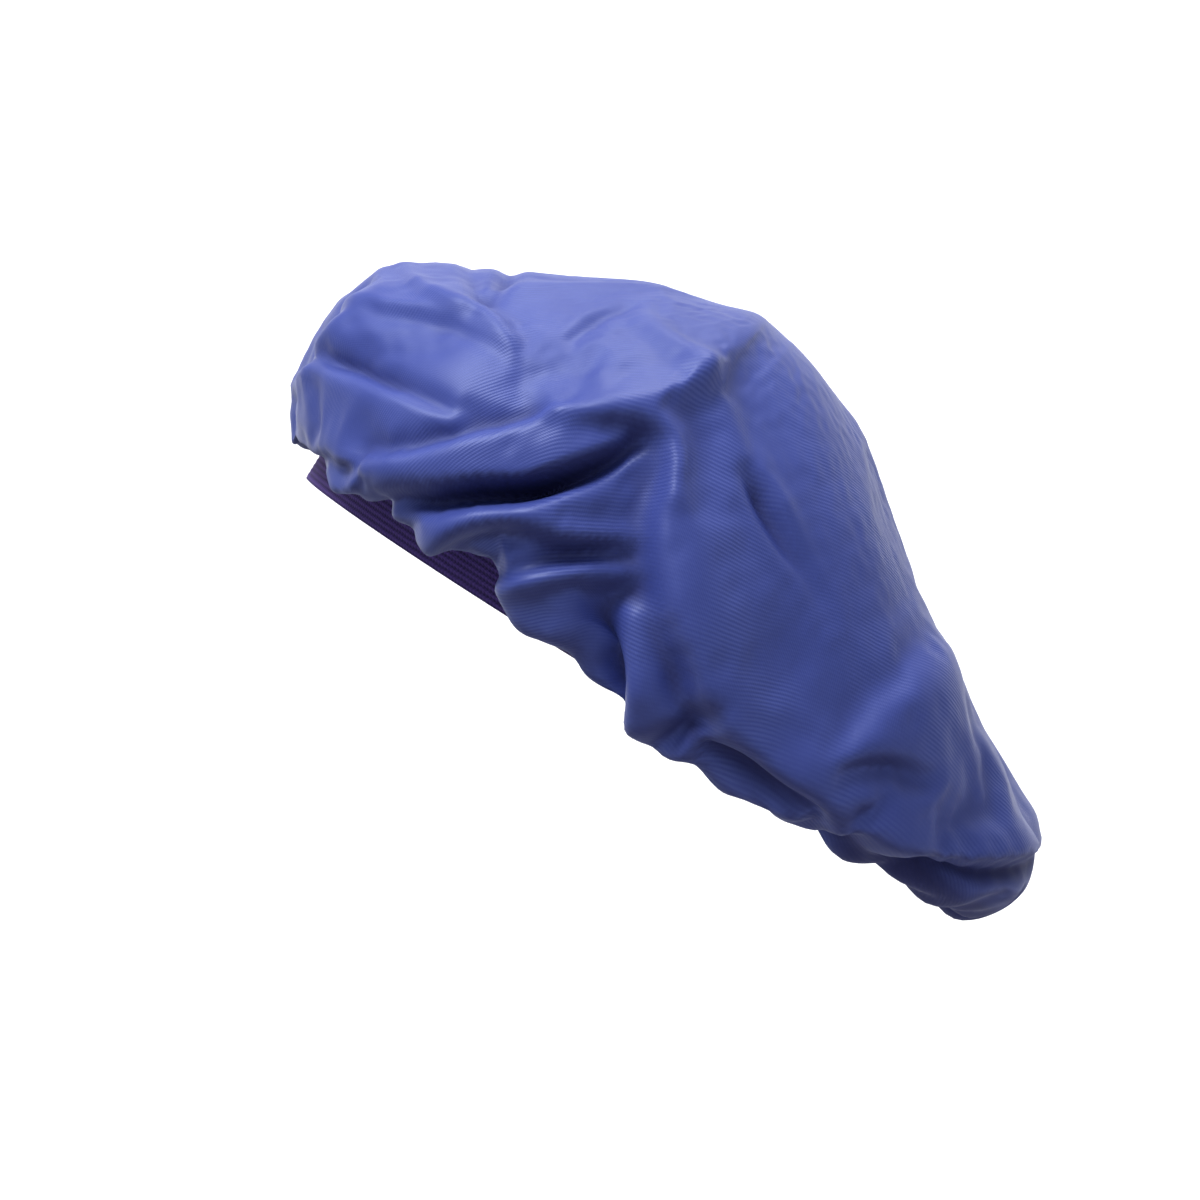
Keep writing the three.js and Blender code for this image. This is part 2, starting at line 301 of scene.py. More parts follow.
class Finish:
    """A material with a Principled shader, built from wires."""

    def __init__(self, name, **settings):
        self.material = bpy.data.materials.new(name)
        self.material.use_nodes = True
        self.nodes = self.material.node_tree.nodes
        self.links = self.material.node_tree.links
        self.shader = self.nodes["Principled BSDF"]
        for socket, value in settings.items():
            self.set(socket.replace("_", " "), value)

    def set(self, socket, value):
        """A number or colour goes on the socket itself, and a wire is linked to it."""
        target = next(s for s in self.shader.inputs if s.name.lower() == socket.lower())
        if isinstance(value, Wire):
            self.links.new(value.socket, target)
        else:
            target.default_value = (*value, 1.0) if hasattr(value, "__len__") and len(value) == 3 else value

    def wire(self, kind, settings, inputs, output=0):
        """Adds a node: its settings come first, then the values or wires of its sockets."""
        node = self.nodes.new(kind)
        for name, value in settings.items():
            setattr(node, name, value)
        for key, value in inputs.items():
            if isinstance(value, Wire):
                self.links.new(value.socket, node.inputs[key])
            else:
                target = node.inputs[key]
                colour = hasattr(value, "__len__") and len(value) == 3 and target.type == "RGBA"
                target.default_value = (*value, 1.0) if colour else value
        return Wire(self, node.outputs[output])

    def blend(self, factor, a, b):
        """The colour a where factor is 0, and b where it is 1."""
        return self.wire("ShaderNodeMix", {"data_type": "RGBA"}, {0: factor, 6: a, 7: b}, output=2)

    def place(self):
        """The point in the object's own coordinates, in metres."""
        return self.wire("ShaderNodeTexCoord", {}, {}, output=3)

    def noise(self, vector, scale, detail=2.0):
        """A cloudy pattern from 0 to 1."""
        return self.wire("ShaderNodeTexNoise", {}, {"Vector": vector, "Scale": scale, "Detail": detail})

    def across(self, vector, direction):
        """How far a point lies along a direction: their dot product."""
        settings = {"operation": "DOT_PRODUCT"}
        return self.wire("ShaderNodeVectorMath", settings, {0: vector, 1: direction}, output=1)

    def uv(self):
        """The point in the flat cut, in millimetres."""
        return self.wire("ShaderNodeUVMap", {"uv_map": "cloth"}, {})

    def attribute(self, name):
        """A number that each point of the mesh carries."""
        return self.wire("ShaderNodeAttribute", {"attribute_name": name}, {}, output=2)

    def relief(self, height, distance, strength=1.0):
        """Bumps `distance` metres high where height is 1."""
        inputs = {"Height": height, "Distance": distance, "Strength": strength}
        self.set("Normal", self.wire("ShaderNodeBump", {}, inputs))


# %% [markdown]
# ## Finishes
#
# Satin is woven so that long threads float over its right side. They catch the light in one direction and
# leave fine parallel lines. The cloth was cut flat, so the lines are straight in the flat round, and they
# bend where the cloth folds: the pattern reads the flat cut's coordinates, in millimetres, from the cloth's
# own UV map.

# %% Satin
TWILL = 1.45  # between the lines of the weave
TWILL_ANGLE = np.radians(33)  # of the lines, in the flat cut, from the line that runs back through the nape


def satin():
    """Fine slanting lines and their long floats, with painted shade that makes the hollows darker and bluer,
    and a painted highlight that makes the ridges paler.
    """
    f = Finish("satin", specular_ior_level=0.5, specular_tint=(0.66, 0.74, 1.0))
    flat = f.uv()
    drift = f.noise(flat, 0.02, 3.0)
    q = f.across(flat, (-np.sin(TWILL_ANGLE), np.cos(TWILL_ANGLE), 0)) + drift * 3.0
    along = f.across(flat, (np.cos(TWILL_ANGLE), np.sin(TWILL_ANGLE), 0))
    lines = q.wave(TWILL)
    floats = (q * 0.6 + along).wave(0.9)
    broken = f.noise(flat, 0.5, 2.0)
    shows = f.noise(flat, 0.03, 1.0)  # the weave shows in patches, where it faces the light
    clear = lines * (broken * 0.5 + shows.rise(0.40, 0.66))
    patch = f.noise(flat, 0.012, 2.0)
    deep = f.blend(patch, (0.032, 0.050, 0.24), (0.044, 0.064, 0.28))
    # painted shade and painted highlight: one number on each point, above zero in the folds and on cloth that
    # faces down, below zero on the ridges
    painted_shade_and_highlight = f.attribute("painted_shade_and_highlight")
    lit = f.blend(clear * 0.3, deep, (0.10, 0.135, 0.42))
    # painted highlight: the ridges are paler
    painted_ridge_highlight = f.blend(painted_shade_and_highlight * -1.0, lit, (0.12, 0.17, 0.50))
    # painted shade: the folds and the undersides go dark blue
    f.set("base color", f.blend(painted_shade_and_highlight, painted_ridge_highlight, (0.009, 0.008, 0.055)))
    f.set("roughness", 0.4 + patch * 0.1 + lines * 0.06 + painted_shade_and_highlight.rise(0.1, 0.8) * 0.35)
    f.relief(clear + floats * 0.25, 0.00011, 0.55)
    return f.material


SATIN = satin()
print("satin: a line every", TWILL, "mm")

# %% Knit, rubber, thread and label
RIBS = 16
FIRST_RIB = 1.5  # from the band's edge to the middle of its first rib
RIB_PITCH = (BAND_WIDTH - 2 * FIRST_RIB) / (RIBS - 1)
KNIT_PITCH = 1.3  # between the wales of the knit, along the band


def knit():
    """Ribbed knit elastic: darker between the ribs by painted shade, with short upright stitches across each
    rib.
    """
    f = Finish("ribbed knit", roughness=0.85, sheen_weight=0.3, sheen_roughness=0.5,
               sheen_tint=(0.5, 0.35, 0.9))
    flat = f.uv()
    along = f.across(flat, (1, 0, 0))
    up = f.across(flat, (0, 1, 0))
    rib = (up - FIRST_RIB + 0.25 * RIB_PITCH).wave(RIB_PITCH)
    wale = (along + rib * 0.5).wave(KNIT_PITCH)
    loops = (along * 0.5 + up * 1.5).wave(KNIT_PITCH * 0.9)
    fluff = f.noise(flat, 1.2, 3.0)
    # painted shade: the colour is darker between the ribs, in the grooves; the wales and the fluff are the
    # knit's own pattern
    lit = rib * 0.55 + wale * 0.3 + fluff * 0.25
    f.set("base color", f.blend(lit, (0.010, 0.004, 0.045), (0.085, 0.042, 0.26)))
    f.relief(rib * 0.3 + wale * 0.5 + loops * 0.25 + fluff * 0.2, 0.0003, 0.8)
    return f.material


def rubber():
    """Bare rubber: a fine dull speckle."""
    f = Finish("rubber", roughness=0.55)
    speck = f.noise(f.place(), 900.0)
    f.set("base color", f.blend(speck, (0.02, 0.015, 0.045), (0.05, 0.04, 0.09)))
    f.relief(speck, 0.00005, 0.5)
    return f.material


def thread():
    """Twisted polyester: fine diagonal plies along each stitch."""
    f = Finish("thread", roughness=0.45, sheen_weight=0.3)
    place = f.place()
    ply = (f.across(place, (1, 0.6, 0.8)) * 1000).wave(0.45)
    f.set("base color", f.blend(ply, (0.03, 0.04, 0.22), (0.09, 0.12, 0.45)))
    f.relief(ply, 0.00008, 0.8)
    return f.material


def label_tape():
    """Blank woven tape: a fine plain weave with a ribbed selvedge along both sides."""
    f = Finish("label tape", roughness=0.5, sheen_weight=0.2)
    flat = f.uv()
    x, y = f.across(flat, (1, 0, 0)), f.across(flat, (0, 1, 0))
    weave = x.wave(0.5) * y.wave(0.5) + (1 - x.wave(0.5)) * (1 - y.wave(0.5))
    edge = x.maths("ABSOLUTE").maths("GREATER_THAN", 13.6)
    f.set("base color", f.blend(weave * 0.5 + edge * 0.3, (0.70, 0.69, 0.64), (0.86, 0.85, 0.80)))
    f.relief(weave + edge * 0.6, 0.00008, 0.6)
    return f.material


KNITTED, RUBBER, THREAD, TAPE = knit(), rubber(), thread(), label_tape()
print("knit:", RIBS, "ribs,", round(RIB_PITCH, 2), "mm apart")

# %% [markdown]
# ## The elastic band
#
# The elastic is two knitted faces over a row of rubber cores. Each core lifts the knit into a rib, and the
# knit sinks between them. A face is a closed thin wall: its points run up the outer side of the knit and back
# down the inner side, so that the cut ends at the nape and both edges are closed as well.

# %% The knitted faces
ALONG = 300  # steps round the band
PER_RIB = 5  # points across a rib
RIB_DEPTH = 0.28


def wall_faces(rows, columns):
    """Faces of a closed thin wall: a row runs up one side and down the other, and both ends are filled."""
    j = np.arange(columns // 2 - 1)
    start = np.stack([j, columns - 1 - j, columns - 2 - j, j + 1], -1)
    end = start[:, ::-1] + (rows - 1) * columns
    return np.concatenate([grid_faces(rows, columns, wrap_columns=True), start, end])


def knit_face(name, centre, bulge):
    """One knitted face, KNIT thick, whose middle is `centre` from the inside of the band.

    The side that shows, the outer one for bulge 1 and the inner one for -1, is full over each core and sinks
    between the cores by RIB_DEPTH * (1 - |cos(pi * (up - FIRST_RIB) / RIB_PITCH)|^0.7).
    """
    angle = np.linspace(-HALF_JOIN, TURN + HALF_JOIN, ALONG)[:, None]
    up = np.linspace(0, BAND_WIDTH, RIBS * PER_RIB + 1)
    rib = np.abs(np.cos(np.pi * (up - FIRST_RIB) / RIB_PITCH)) ** 0.7
    side = np.concatenate([np.full(len(up), 0.5), np.full(len(up), -0.5)])
    heights = np.concatenate([up, up[::-1]])
    rib = np.concatenate([rib, rib[::-1]])
    shown = side * bulge > 0
    out = centre + side * KNIT + np.where(shown, bulge * RIB_DEPTH * (rib - 1), 0)
    pull = 0.12 * np.sin(angle * 97) * np.sin(heights * 0.9)  # the stretched knit is never quite even
    points = loop_point(angle, out + strip_lift(angle), heights)
    points[..., 2] += pull * (heights > 0.5) * (heights < BAND_WIDTH - 0.5)
    girth = np.pi * (HALF_LENGTH + HALF_WIDTH)
    uv = np.stack(np.broadcast_arrays(angle / TURN * girth, heights), -1)
    obj = piece(name, points, wall_faces(*points.shape[:2]), uv, KNITTED)
    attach(obj, "bonnet")
    girth * MM
    BAND_WIDTH * MM
    return obj


outer_face = knit_face("ribbed_outer_knit", BAND_THICKNESS - KNIT / 2, 1)
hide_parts("band_outer_knit")
inner_face = knit_face("ribbed_inner_knit", KNIT / 2, -1)
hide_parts("band_inner_knit")

# %% The rubber cores
CORE_RADIUS = 0.3
CORE_OUT = KNIT + GAP + CORE_RADIUS
core_angle = np.linspace(-HALF_JOIN, TURN + HALF_JOIN, 180)
for number in range(RIBS):
    path = loop_point(core_angle, CORE_OUT + strip_lift(core_angle), FIRST_RIB + number * RIB_PITCH)
    name = f"rubber_core_{number + 1:02d}"
    core = piece(f"core_thread_{number + 1:02d}", *tubes(path[None], CORE_RADIUS, 6), material=RUBBER)
    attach(core, "bonnet")
    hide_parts(name)

# %% [markdown]
# ## Stitches
#
# A lock stitch shows as a row of short dashes: the needle thread on the satin, the bobbin thread inside the
# band. One dash is a tube that dips into the cloth at both ends, and the row is one array of dashes round the
# loop.


# %% Stitch rows, join tacks and the label's stitches
DIP = 0.35  # how far a dash sinks into the cloth at its ends
STITCHES = 190  # in a row round the band
stitch_angle = (np.arange(STITCHES) + 0.5) / STITCHES * (TURN - 0.012)


def dashes(centres, along, into, length):
    """Dashes at centres: path = centre + along * length * t + into * DIP * (2t)^4, for t from -1/2 to 1/2."""
    t = np.linspace(-0.5, 0.5, 7)[None, :, None]
    return centres[:, None] + along[:, None] * length * t + into[:, None] * DIP * (2 * t) ** 4


def stitch_row(name, node, height, out, inward):
    """A row of dashes at a height, `out` from the band's inside, which sink in (inward 1) or out (-1)."""
    centres = loop_point(stitch_angle, out, height)
    along = loop_point(stitch_angle + 1e-4, out, height) - centres
    along /= np.linalg.norm(along, axis=-1, keepdims=True)
    into = np.cross(np.array([0, 0, 1.0]), along) * inward
    row = piece(name, *tubes(dashes(centres, along, into, 2.5), 0.26, 6), material=THREAD)
    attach(row, "bonnet")
    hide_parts(node)


CLOTH = 0.8  # the gathered satin's bulk over the band
over_cloth = BAND_THICKNESS + outside_lift(stitch_angle) + CLOTH + 2 * GAP + DIP
inside_band = -GAP - 0.3
for which, height in (("upper", BAND_WIDTH - 2), ("lower", BAND_WIDTH - 6)):
    stitch_row(f"needle_stitches_{which}", f"needle_thread_{which}", height, over_cloth, 1)
    stitch_row(f"bobbin_stitches_{which}", f"bobbin_thread_{which}", height, inside_band, -1)


SWING = 1.2


def zigzag(name, at):
    """One tack up the lapped ends: a tube through corners that swing SWING to each side of the angle `at`."""
    corner = np.arange(17)
    swing = at + np.where(corner % 2, 1, -1) * SWING / HALF_WIDTH
    corners = loop_point(swing, BAND_THICKNESS + LIFT + 0.9, 0.8 + corner * 1.6)
    path = spline(corners[:, None], [5] * (len(corner) - 1))[:, 0]
    tack = piece(f"{name}_zigzag", *tubes(path[None], 0.28, 8), material=THREAD)
    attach(tack, "bonnet")
    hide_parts(name)


zigzag("join_tack_left", -HALF_JOIN / 2)
zigzag("join_tack_right", HALF_JOIN / 2)

LABEL_STITCHES = 11
sewn = in_band_frame("label_stitch")
spots = np.tile(sewn.mean(0), (LABEL_STITCHES, 1))
spots[:, 1] = np.linspace(sewn[:, 1].min() + 1.2, sewn[:, 1].max() - 1.2, LABEL_STITCHES)
along = np.tile([0.0, 1.0, 0.0], (LABEL_STITCHES, 1))
into = np.tile([1.0, 0.0, 0.0], (LABEL_STITCHES, 1))
caught = piece("label_stitches", *tubes(dashes(spots, along, into, 1.9), 0.22, 6), material=THREAD)
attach(caught, "bonnet")
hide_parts("label_stitch")

# %% [markdown]
# ## The care label
#
# A soft woven tape, sewn along its upper edge. It swings on that edge, so it rides on its own body. Its
# corners curl a little, and its free end is folded back on itself, as a cut tape is finished so that it can't
# fray.

# %% The label
tag = in_band_frame("care_label")
tag_low, tag_high = tag.min(0), tag.max(0)
thick, wide, tall = tag_high - tag_low
across = np.linspace(-1, 1, 41)
down = np.linspace(0, 1, 33)[:, None]
# How far the tape curls from its flat: 0.16 * across^2 * down^2 - 0.1 * sin(pi * down) * cos(2.2 * across).
bow = 0.16 * across**2 * down**2 - 0.1 * np.sin(np.pi * down) * np.cos(2.2 * across)
face = np.stack(np.broadcast_arrays(bow, across * wide / 2, tag_high[2] - down * tall), -1)
face[..., 0] += (tag_low[0] + tag_high[0]) / 2
folded = smoothstep(0.80, 0.84, down) * (1 - smoothstep(0.985, 1.0, down))
half_wall = (thick * (0.32 + 0.18 * folded))[..., None] * [1.0, 0.0, 0.0]
ring = np.concatenate([face - half_wall, (face + half_wall)[:, ::-1]], 1)
tape = piece("woven_label", ring, wall_faces(*ring.shape[:2]), ring[..., 1:], TAPE)
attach(tape, "care_label")
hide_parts("care_label")
wide * MM
tall * MM

# %% [markdown]
# ## The satin crown
#
# The crown starts as a smooth bag. Each of its lines runs up the band's outer side, over the band's edge and
# down behind it, round the hanging fold, out to the widest line, and up over the dome to the middle of the
# round. Fourteen guide points a line are enough, because a spline is drawn through them. The folds come
# after, as strokes.

# %% The smooth bag
COLUMNS = 360
LAP = 8  # how far the hem laps the band
FRONT, SIDES, REAR = 27, 40, 98  # how far the bag stands out past the band
TOP = BAND_WIDTH + 104
SHIFT = 10  # the top lies this far behind the centre of the opening

# The hanging fold's lowest line, by its place from forehead (-) to nape (+): lobes and notches.
NEAR_EDGE = [(-140, 12), (-107, 13), (-103, 10), (-94, 8), (-85, 12), (-77, 16), (-70, 13), (-60, 8),
             (-46, 13), (-31, 17), (-23, 9), (-13, 4), (0, 1), (9, 5), (18, 1), (29, -3), (40, -6),
             (57, -10), (75, -6), (92, -6), (126, -7), (149, -7), (187, -7), (198, -6), (212, -5)]
FAR_EDGE = [(-140, 12), (-118, 8), (-100, 13), (-82, 6), (-64, 12), (-48, 4), (-30, 9), (-12, -4), (8, -8),
            (28, -3), (50, -11), (72, -8), (96, -13), (122, -9), (150, -13), (180, -11), (212, -8)]

# The columns lie closer together on the side with the fine folds: even steps, pulled towards the near ear.
even = np.arange(COLUMNS) / COLUMNS * TURN
angle = even - 0.42 * np.cos(even)
c, s = np.cos(angle), np.sin(angle)
near = s < 0


# %% From shares of the overhang to points
def around(front, side, back):
    """Values at the forehead, the ears and the nape, blended by the square of the cosine."""
    return mix(side, np.where(c > 0, back, front), c**2)


def temple_to_nape(front, side, back):
    """The same, but the front's value holds as far as the temples."""
    return mix(np.where(c > 0, mix(side, back, c**2), side), front, smoothstep(-0.1, 0.3, -c))


def bag_point(share, height):
    """Points past the band by shares of the overhang at the forehead, the ears and the nape."""
    length = HALF_LENGTH + BAND_THICKNESS + np.where(c > 0, share[2] * REAR, share[0] * FRONT)
    width = HALF_WIDTH + BAND_THICKNESS + share[1] * SIDES
    return np.stack([length * c, width * s, height], -1)


def hem(height):
    """The line of the satin that lies on the band's outer side at a height."""
    return loop_point(angle, BAND_THICKNESS + GAP + CLOTH / 2 + outside_lift(angle), height)


# %% The guide points of every line
place = (HALF_LENGTH + np.where(c > 0, 0.9 * REAR, 0.4 * FRONT)) * c
edge = np.where(near, np.interp(place, *np.transpose(NEAR_EDGE)), np.interp(place, *np.transpose(FAR_EDGE)))
soften = np.hanning(11) / np.hanning(11).sum()
edge = np.convolve(np.concatenate([edge[-5:], edge, edge[:5]]), soften, "valid")
turn_up = edge + temple_to_nape(9, 10, 12)
waist = temple_to_nape(BAND_WIDTH * 1.3, BAND_WIDTH * 0.7, BAND_WIDTH * 0.6)

# At each level of the dome: the share of the reach that is left, and of the rise that is done, at the
# forehead, the ears and the nape.
DOME = [((0.97, 0.95, 0.9), (0.25, 0.33, 0.18)),
        ((0.86, 0.82, 0.68), (0.5, 0.62, 0.38)),
        ((0.64, 0.6, 0.45), (0.72, 0.82, 0.64)),
        ((0.33, 0.31, 0.23), (0.91, 0.95, 0.9)),
        ((0, 0, 0), (1, 1, 1))]
widest = bag_point((1, 1, 1), waist)
guides = [hem(BAND_WIDTH - LAP), hem(BAND_WIDTH - LAP / 2), hem(BAND_WIDTH), hem(BAND_WIDTH + 2),
          bag_point((0.18, 0.15, 0.1), np.full(COLUMNS, BAND_WIDTH + 4)),
          bag_point((0.3, 0.4, 0.46), mix(edge, BAND_WIDTH, around(0.5, 0.45, 0.4))),
          bag_point((0.42, 0.62, 0.86), edge),
          bag_point((0.76, 0.93, 1), turn_up),
          widest]
for kept, rise in DOME:
    left, done = around(*kept)[:, None], around(*rise)[:, None]
    level = widest * left
    level[:, :1] += SHIFT * (1 - left)
    level[:, 2:] = mix(widest[:, 2:], TOP, done)
    guides.append(level)
print("guide points on every line:", len(guides))

# %% The bag and its flat round
SPAN_STEPS = [2, 2, 1, 3, 8, 9, 7, 10, 13, 15, 19, 24, 23]
FOLD_ROW = sum(SPAN_STEPS[:6])  # the row of the hanging fold's lowest line
bag = spline(np.stack(guides), SPAN_STEPS)
ROWS = len(bag)
rows = np.arange(ROWS)[:, None]


def normals(points):
    """Unit normals of a grid that wraps round its columns: the cross product of its two gradients."""
    up_step = np.gradient(points, axis=0)
    wide = np.concatenate([points[:, -1:], points, points[:, :1]], 1)
    round_step = (wide[:, 2:] - wide[:, :-2]) / 2
    out = np.cross(round_step, up_step)
    out[-1] = [0, 0, 1]
    return out / np.maximum(np.linalg.norm(out, axis=-1, keepdims=True), 1e-9)


# How far each point lies from the middle of the flat round: the length of its line from the top.
steps = np.linalg.norm(np.diff(bag, axis=0), axis=-1)
reach = np.concatenate([np.cumsum(steps[::-1], axis=0)[::-1], np.zeros((1, COLUMNS))])
reach = reach * (reach[0].mean() / reach[0]) ** 0.6
flat = np.stack([reach * c, reach * s], -1)
RADIUS = reach[0].mean()
print(f"bag: {ROWS} x {COLUMNS} points, flat round of radius {RADIUS:.0f} mm")

# %% [markdown]
# ## Gathers
#
# Two metres of cloth edge are drawn in to six hundred millimetres of elastic, so the cloth leaves the seam in
# small close pleats. Going out, the pleats merge into fewer and broader ones. Each size of pleat is a sine
# round the loop whose phase wanders, so that no two are alike, and it fades in and out along the lines.


# %% Pleats along the lines
rng = np.random.default_rng(7)


def wander(waves, amount):
    """A smooth random curve round the loop: a sum of `waves` sines of random phase, about `amount` high."""
    k = np.arange(1, waves + 1)[:, None]
    phase = rng.uniform(0, TURN, (waves, 1))
    height = rng.uniform(0.5, 1, (waves, 1)) / np.sqrt(waves)
    return amount * (height * np.sin(k * angle + phase)).sum(0)


def pleats(count, height, begin, full, fade, end):
    """height * sin(count * angle + wander), rising from row begin to full and fading from fade to end."""
    lean = (rows - FOLD_ROW) * 0.004 * np.sin(3 * angle + count)
    uneven = 0.65 + np.abs(wander(9, 0.7))
    shape = np.sin(count * (angle + lean) + wander(7, 1.6))
    return height * uneven * shape * smoothstep(begin, full, rows) * smoothstep(end, fade, rows)


cloth = bag + 0
sides = 1 - 0.85 * smoothstep(0.55, 0.85, -c)  # the forehead lobe is smooth
relief = (
    pleats(72, 0.5, 0, 3, 10, 20)
    + pleats(60, 1.2, 5, 12, 16, 25)
    + sides * pleats(37, 1.6, 10, 20, 22, 36)
    + sides * pleats(21, 1.3, 16, 26, 28, 50)
    + pleats(13, 1.4, 24, 40, 46, 84)
    + pleats(7, 1.4, 40, 70, 80, 130)
)
held_in = smoothstep(0, 5, rows)
cloth += normals(bag) * (relief * held_in)[..., None]

# %% [markdown]
# ## Folds, drawn as strokes
#
# The large folds are what makes this bonnet look like itself, so each is drawn on its own. A stroke is a line
# in the side view of the band's frame, x towards the nape and z up. The cloth near it is pushed out (a ridge)
# or in (a valley). The push dies away faster on one side than on the other, which makes a crease with a steep
# wall, and a stroke can drag its cloth as well, so that a roll hangs over the hollow below it.


# %% Drawing one stroke
OUT = normals(bag)
OUTSIDE = smoothstep(FOLD_ROW - 3, FOLD_ROW + 4, rows)  # strokes leave the hidden cloth under the fold alone
USUAL_DEPTH = (-15, 40)  # most strokes end before the middle of the crown
EVERYWHERE = (200, 300)  # a few go right across it


def closeness(line, above, below, depth=USUAL_DEPTH, side=-1):
    """exp(-(distance / reach)^2) of each point to a line in the side view, and its place along it, 0 to 1.

    reach is `above` on the line's left when it is followed from its first point, and `below` on its right.
    The closeness fades across the width between the two depths, counted towards `side`.
    """
    line = spline(np.array(line, dtype=float)[:, None], [5] * (len(line) - 1))[:, 0]
    x, z = bag[..., 0], bag[..., 2]
    best = np.full(x.shape, 1e9)
    left_of, place = np.zeros(x.shape), np.zeros(x.shape)
    lengths = np.linalg.norm(np.diff(line, axis=0), axis=1)
    walked = np.concatenate([[0], np.cumsum(lengths)]) / lengths.sum()
    for start, stop, begin, finish in zip(line[:-1], line[1:], walked[:-1], walked[1:]):
        span = stop - start
        t = np.clip(((x - start[0]) * span[0] + (z - start[1]) * span[1]) / (span @ span), 0, 1)
        dx, dz = x - start[0] - t * span[0], z - start[1] - t * span[1]
        distance = np.hypot(dx, dz)
        nearer = distance < best
        best = np.where(nearer, distance, best)
        left = (span[0] * dz - span[1] * dx) / np.hypot(*span) / np.maximum(distance, 1e-6)
        left_of = np.where(nearer, left, left_of)
        place = np.where(nearer, mix(begin, finish, t), place)
    reach = mix(below, above, smoothstep(-1, 1, left_of))
    this_side = smoothstep(depth[1], depth[0], -side * bag[..., 1])
    return np.exp(-((best / reach) ** 2)) * OUTSIDE * this_side, place


def stroke(line, height, above, below, depth=USUAL_DEPTH, drag=0.0, side=-1):
    """How a stroke moves each point: closeness * height along the bag's normal, and drag towards the nape.

    height is a list of values spread evenly along the line.
    """
    share, place = closeness(line, above, below, depth, side)
    tall = np.interp(place, np.linspace(0, 1, len(height)), height)
    moved = OUT * (tall * share)[..., None]
    moved[..., 0] += drag * share * np.abs(tall) / np.abs(height).max()
    return moved


